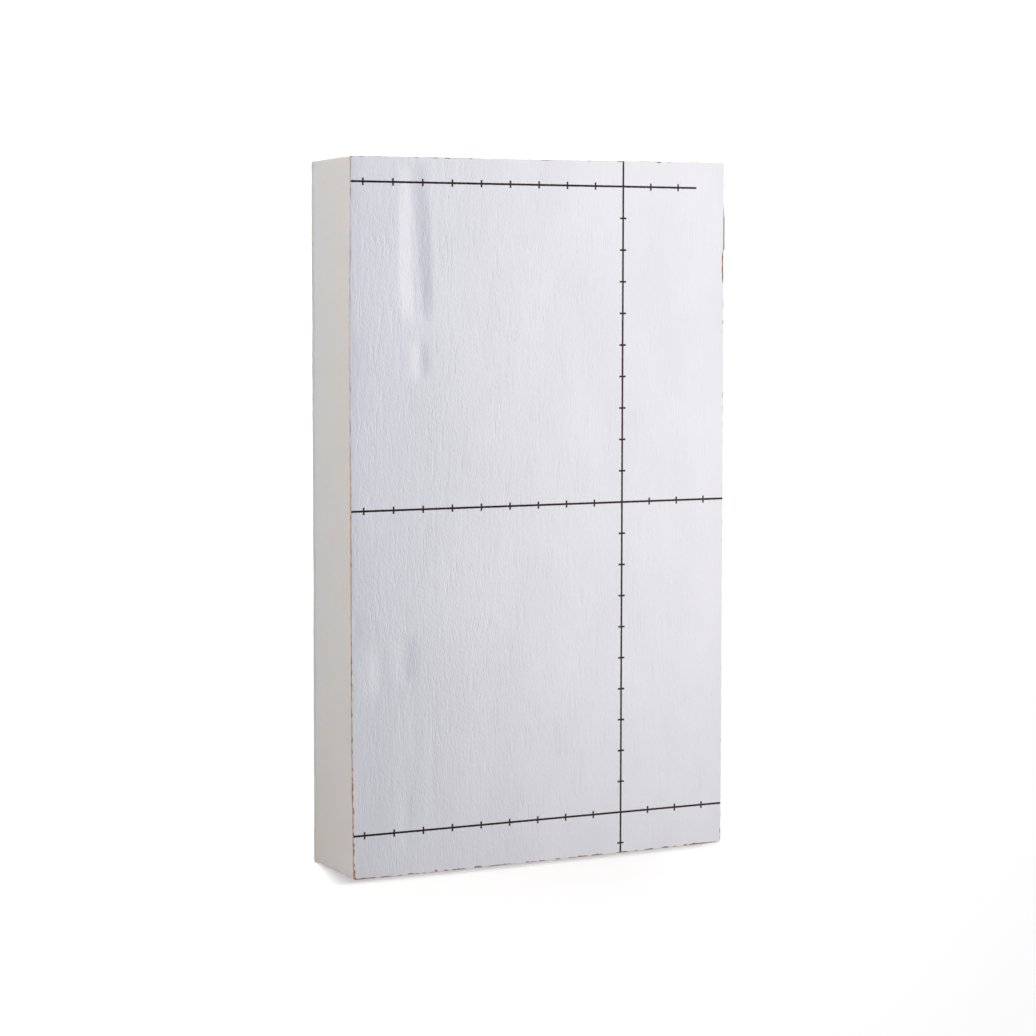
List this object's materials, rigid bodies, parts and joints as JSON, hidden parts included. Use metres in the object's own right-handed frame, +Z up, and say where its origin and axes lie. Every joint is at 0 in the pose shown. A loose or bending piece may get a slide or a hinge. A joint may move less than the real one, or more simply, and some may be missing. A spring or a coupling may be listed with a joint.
{
  "type": "foil-faced polyiso insulation board",
  "caption": "Rectangular rigid foam insulation board with a kraft and aluminium foil facer on each side, square-cut edges and printed measuring lines on the upper facer.",
  "frame": {"origin": "centre of the lower face, on the surface that the board lies on", "axes": "+X across the board's width, +Y along its length, +Z up and out of the printed face"},
  "size_m": [0.132, 0.222, 0.03],
  "materials": {
    "foam": "matte, fine closed-cell foam, knife-cut",
    "kraft_paper": "matte fibrous brown paper, frayed at the cut",
    "printed_foil": "satin, finely crinkled, printed with black centimetre lines",
    "plain_foil": "satin, finely crinkled, unprinted"
  },
  "bodies": {
    "root": {"foam_core": "foam", "front_kraft_paper": "kraft_paper", "front_aluminium_foil": "printed_foil", "back_kraft_paper": "kraft_paper", "back_aluminium_foil": "plain_foil"}
  },
  "joints": []
}
